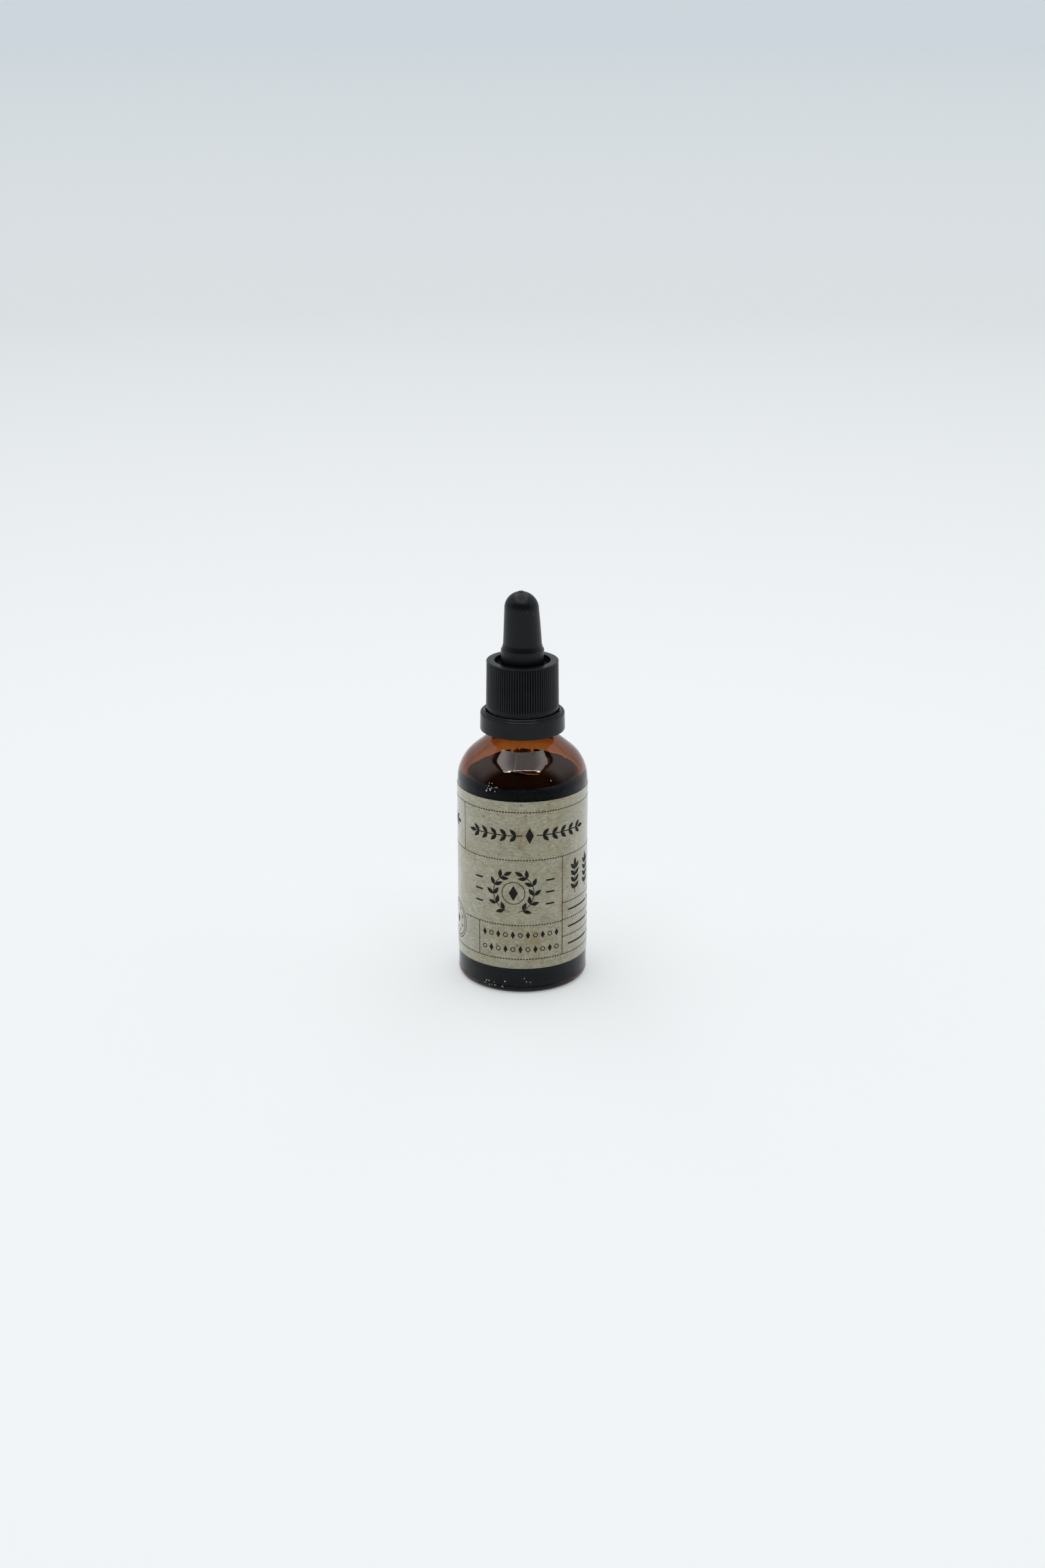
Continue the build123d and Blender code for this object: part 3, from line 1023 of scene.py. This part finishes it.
bulb_inside = dome(bulb_tip_radius - teat_wall, bulb_top)[::-1] + rounded_line([
    (bulb_radius - teat_wall, pipette_top, 0),
    (teat_hole_radius, pipette_top, 0),
    (teat_hole_radius, plug_bottom, 0),
])
teat_outside = rounded_line([
    (teat_hole_radius, plug_bottom, 0),
    (plug_radius - plug_taper, plug_bottom, 0.3),
    (plug_radius, mouth, 0.15),
    (flange_radius, mouth, 0.2),
    (flange_radius, flange_top, 0.2),
    (collar_radius, flange_top, 0.35),
    (collar_radius, collar_top, 0.1),
    (collar_radius - collar_step, collar_top + collar_step_rise, 0.05),
    (bulb_radius, bulb_bottom, 1.2),
    (bulb_tip_radius, bulb_top, 0),
])[1:]
gate_foot = bulb_top + sqrt(bulb_tip_radius ** 2 - gate_radius ** 2)
gate = [Vector((gate_radius, gate_foot)), Vector((gate_radius - gate_taper, teat_top)),
        Vector((0, teat_top))]
dome_outside = [point for point in dome(bulb_tip_radius, bulb_top)[1:] if point.x > gate_radius]
teat_line = stepped_line(bulb_inside + teat_outside + dome_outside + gate, teat_step)


def shaped_teat(row, bearing, radius, height):
    """The slightly uneven wall of soft rubber above the collar."""
    if height > bulb_bottom:
        radius += teat_unevenness * waves(bearing, radius, height, teat_unevenness_wave)
    return radius, height


# Rubber from a bead-blasted mould: a satin black that holds a little dust.
satin_rubber, tree, place = new_material("moulded_black_rubber")
grain = add_node(tree, "TexNoise", {"Vector": place, "Scale": 1 / (0.35 * mm), "Detail": 4.0})
rubbed = add_node(tree, "TexNoise", {"Vector": place, "Scale": 1 / (5 * mm), "Detail": 4.0})
dust = add_node(tree, "TexVoronoi", {"Vector": place, "Scale": 1 / (1.6 * mm)})
colour = add_node(tree, "ValToRGB", {"Fac": grain}, stops=[(0.3, "090c0e"), (0.7, "0e1316")])
speck = add_node(tree, "MapRange", {
    "Value": dust, "From Min": 0.05, "From Max": 0.08, "To Min": 1.0, "To Max": 0.0})
which = add_node(tree, "SeparateColor", {"Color": dust.outputs["Color"]})
few = add_node(tree, "Math", {0: which.outputs["Red"], 1: 0.86}, operation="GREATER_THAN")
dusty = add_node(tree, "Math", {0: speck, 1: few}, operation="MULTIPLY")
dusted = add_node(tree, "Mix", {0: dusty, 6: colour, 7: linear("8a8f92")}, data_type="RGBA")
satin = add_node(tree, "MapRange", {"Value": rubbed, "To Min": 0.28, "To Max": 0.42})
texture = add_node(tree, "Bump", {"Height": grain, "Strength": 0.2, "Distance": 0.03 * mm})
shader = add_node(tree, "BsdfPrincipled", {
    "Base Color": dusted.outputs[2], "Roughness": satin, "IOR": 1.52, "Specular IOR Level": 0.23,
    "Normal": texture})
add_node(tree, "OutputMaterial", {"Surface": shader})

teat = mesh_object("rubber_teat", turned(teat_line, teat_columns, shaped_teat), satin_rubber)
for point in teat.data.vertices:
    up = max(0.0, point.co.z / mm - collar_top) / (teat_top - collar_top)
    point.co.x -= teat_lean * mm * up ** teat_lean_bend
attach(teat, "dropper")
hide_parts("teat")


# Pipette
# Clear borosilicate tube, drawn down to a tip in a flame and fire-polished at both ends. It is
# pushed up into the teat, and stands in the bitters with its own column of them.
pipette_low, pipette_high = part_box("pipette")
tip_bottom = pipette_low.z / mm
pipette_radius = pipette_high.x / mm
pipette_wall = 0.9
tip_radius = 1.6
tip_wall = 0.9
tip_straight = 1.5
tip_length = 12.5
tip_round = 12.0
tip_foot_round = 4.0
tube_step = 2.0
pipette_columns = 96
tip_unevenness = 0.05
tip_unevenness_wave = 3.0
column_gap = 0.3
column_overlap = 0.05
column_meniscus = 0.5
column_meniscus_reach = 1.2

taper_bottom = tip_bottom + tip_straight
taper_top = taper_bottom + tip_length
tube_inside = pipette_radius - pipette_wall
tip_inside = tip_radius - tip_wall
tube_line = stepped_line(rounded_line([
    (tip_inside, tip_bottom, 0.2),
    (tip_radius, tip_bottom, 0.3),
    (tip_radius, taper_bottom, tip_foot_round),
    (pipette_radius, taper_top, tip_round),
    (pipette_radius, pipette_top, 0.3),
    (tube_inside, pipette_top, 0.3),
    (tube_inside, taper_top, tip_round),
    (tip_inside, taper_bottom, tip_foot_round),
]), tube_step, closed=True)


def shaped_tube(row, bearing, radius, height):
    """The hand of the glass worker in the drawn end."""
    drawn_share = smooth((taper_top - height) / tip_length)
    drawn_share *= smooth((height - tip_bottom) / tip_straight)
    uneven = tip_unevenness * waves(bearing, radius, height, tip_unevenness_wave)
    return radius + drawn_share * uneven, height


# Clear glass with the faintest green, hazed a little where it has been handled.
clear_glass, tree, place = new_material("drawn_clear_glass")
streaks = add_node(tree, "TexNoise", {"Vector": place, "Scale": 1 / (4 * mm), "Detail": 2.0})
haze = add_node(tree, "MapRange", {
    "Value": streaks, "From Min": 0.5, "From Max": 0.8, "To Min": 0.0, "To Max": 0.05})
shader = add_node(tree, "BsdfPrincipled", {
    "Base Color": (1, 1, 1, 1), "Roughness": haze, "IOR": 1.47, "Transmission Weight": 1.0})
tint = add_node(tree, "VolumeAbsorption", {"Color": linear("eef6f2"), "Density": 0.2 / mm})
add_node(tree, "OutputMaterial", {"Surface": shader, "Volume": tint})

tube_shape = turned(tube_line, pipette_columns, shaped_tube, closed=True)
pipette = mesh_object("glass_pipette", tube_shape, clear_glass)
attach(pipette, "dropper")
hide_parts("pipette")

column_bottom = tip_bottom + column_gap
column_wall = stepped_line(rounded_line([
    (tip_inside + column_overlap, column_bottom, 0),
    (tip_inside + column_overlap, taper_bottom, tip_foot_round),
    (tube_inside + column_overlap, taper_top, tip_round),
    (tube_inside + column_overlap, pipette_top, 0),
]), tube_step)
column_line = [Vector((0, column_bottom))] + up_to(column_wall, liquid_level + column_meniscus)
column_line += meniscus(column_line[-1].x, column_meniscus_reach, column_meniscus, liquid_level)
drawn_up = liquid_object("pipette_bitters_column", column_line, pipette_columns)
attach(drawn_up, "dropper")
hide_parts("pipette_bitters")


# Floor
# A matt sheet, wide enough that the view never reaches its edge. It is lit from behind as well as
# from above. A painted glow, seen by the camera, in gloss and through glass, keeps the shadow on
# it pale, and painted shade makes it a little darker far away.
floor_reach = 30000.0
falloff_reach = 6500.0
backdrop_glow = 0.4
matt_paper_and_painted_glow, tree, place = new_material("backdrop_paper_painted_glow_and_falloff")
away = add_node(tree, "VectorMath", {0: place}, operation="LENGTH")
share_out = add_node(tree, "Math", {
    0: away.outputs["Value"], 1: falloff_reach * mm}, operation="DIVIDE")
# Painted shade: the sheet's colour darkens with distance from the bottle.
painted_falloff_colour = add_node(tree, "ValToRGB", {"Fac": share_out}, stops=[
    (0.04, "f2f3f4"), (0.2, "dbdee0"), (0.9, "cdd4d9")])
shader = add_node(tree, "BsdfDiffuse", {"Color": painted_falloff_colour})
# Painted glow: for camera, gloss and glass rays, a share of the sheet is a flat emission that
# lightens its shadow.
glow = add_node(tree, "Emission", {"Color": painted_falloff_colour, "Strength": 1.0})
ray = add_node(tree, "LightPath")
seen = ray.outputs["Is Camera Ray"]
for kind in ("Is Glossy Ray", "Is Transmission Ray"):
    seen = add_node(tree, "Math", {0: seen, 1: ray.outputs[kind]}, operation="MAXIMUM")
share = add_node(tree, "Math", {0: seen, 1: backdrop_glow}, operation="MULTIPLY")
sheet = add_node(tree, "MixShader", {0: share, 1: shader, 2: glow})
add_node(tree, "OutputMaterial", {"Surface": sheet})
corners = [(x * floor_reach, y * floor_reach, 0) for x, y in ((-1, -1), (1, -1), (1, 1), (-1, 1))]
floor = mesh_object("floor", (corners, [(0, 1, 2, 3)]), matt_paper_and_painted_glow)


# Light
# A light tent, given by direction: a soft top that is brighter towards its left and right edges
# and brightest at a tube along its front edge, dark seams round it, and pale walls beside and
# behind. The front is open to a dark room, which keeps the blacks deep.
top_reach = 0.6
top_strength = 1.3
left_strength = 2.2
right_strength = 1.6
tube_strength = 15.0
tube_width = 0.05
seam_reach = 0.74
seam_blur = 0.03
edge_blur = 0.005
back_reach = 1.3
corner_seam = 0.03
lowest_up = 0.05

tent = bpy.data.worlds.new("light_tent")
tent.use_nodes = True
tree = tent.node_tree
tree.nodes.clear()
direction = add_node(tree, "TexCoord")
parts = add_node(tree, "SeparateXYZ", {"Vector": direction.outputs["Generated"]})
made = {"across": parts.outputs["X"], "away": parts.outputs["Y"], "up": parts.outputs["Z"]}

# The reach of a direction is how far from straight overhead it meets the tent's top, which
# stretches further back than to the front or the sides.
for name, operation, first, second in (
        ("above", "MAXIMUM", "up", lowest_up),
        ("slope_across", "DIVIDE", "across", "above"),
        ("slope_away", "DIVIDE", "away", "above"),
        ("reach_across", "ABSOLUTE", "slope_across", 0.0),
        ("reach_back", "MULTIPLY", "slope_away", top_reach / back_reach),
        ("reach_front", "MULTIPLY", "slope_away", -1.0),
        ("reach_away", "MAXIMUM", "reach_back", "reach_front"),
        ("reach", "MAXIMUM", "reach_across", "reach_away"),
        ("to_side", "ABSOLUTE", "across", 0.0),
        ("past_corner", "SUBTRACT", "to_side", "away"),
        ("off_corner", "ABSOLUTE", "past_corner", 0.0)):
    inputs = {0: made.get(first, first), 1: made.get(second, second)}
    made[name] = add_node(tree, "Math", inputs, operation=operation)

# Each part of the tent rises from 0 to its most as a value goes from one number to another.
tube_edge = tube_width - top_reach
for name, value, start, end, most in (
        ("wall_height", "up", 0.0, 0.62, 1.0),
        ("wall_behind", "away", 0.15, 0.7, 1.0),
        ("open_front", "away", -0.12, -0.5, 1.0),
        ("floor_sweep", "up", 0.12, 0.05, 1.0),
        ("back_corner", "off_corner", corner_seam, 0.0, 1.0),
        ("top_seam", "reach", seam_reach + seam_blur, seam_reach - seam_blur, 1.0),
        ("top", "reach", top_reach + edge_blur, top_reach - edge_blur, 1.0),
        ("left_glow", "slope_across", -0.2, -0.52, left_strength),
        ("right_glow", "slope_across", 0.25, 0.52, right_strength),
        ("tube_glow", "slope_away", tube_edge, tube_edge - edge_blur, tube_strength)):
    inputs = {"Value": made[value], "From Min": start, "From Max": end, "To Max": most}
    made[name] = add_node(tree, "MapRange", inputs, interpolation_type="SMOOTHSTEP")

# Each of these covers the ones before it.
colour = linear("94999c")
for name, part_colour in (
        ("wall_height", "e5e8ea"), ("wall_behind", "c9ced1"), ("open_front", "1a1c1e"),
        ("floor_sweep", "d0d8dd"), ("back_corner", "606468"), ("top_seam", "303234"),
        ("top", "f6fafb")):
    inputs = {0: made[name], 6: colour, 7: linear(part_colour)}
    colour = add_node(tree, "Mix", inputs, data_type="RGBA").outputs[2]

strength = top_strength - 1
for name in ("left_glow", "right_glow", "tube_glow"):
    strength = add_node(tree, "Math", {0: made[name], 1: strength}, operation="ADD")
over_room = add_node(tree, "Math", {0: strength, 1: made["top"], 2: 1.0}, operation="MULTIPLY_ADD")
light = add_node(tree, "Background", {"Color": colour, "Strength": over_room})
add_node(tree, "OutputWorld", {"Surface": light})
bpy.context.scene.world = tent


# Camera
# It looks down on the bottle at the photograph's angle.
camera_data = bpy.data.cameras.new("camera")
camera_data.lens = 55
camera_data.sensor_width = 36
camera = bpy.data.objects.new("camera", camera_data)
camera.location = (0, -0.6430, 0.2872)
aim = Vector((0, 0, 0.0572))
camera.rotation_euler = (aim - camera.location).to_track_quat("-Z", "Y").to_euler()
bpy.context.scene.collection.objects.link(camera)
bpy.context.scene.camera = camera
bpy.context.scene.view_settings.view_transform = "Standard"
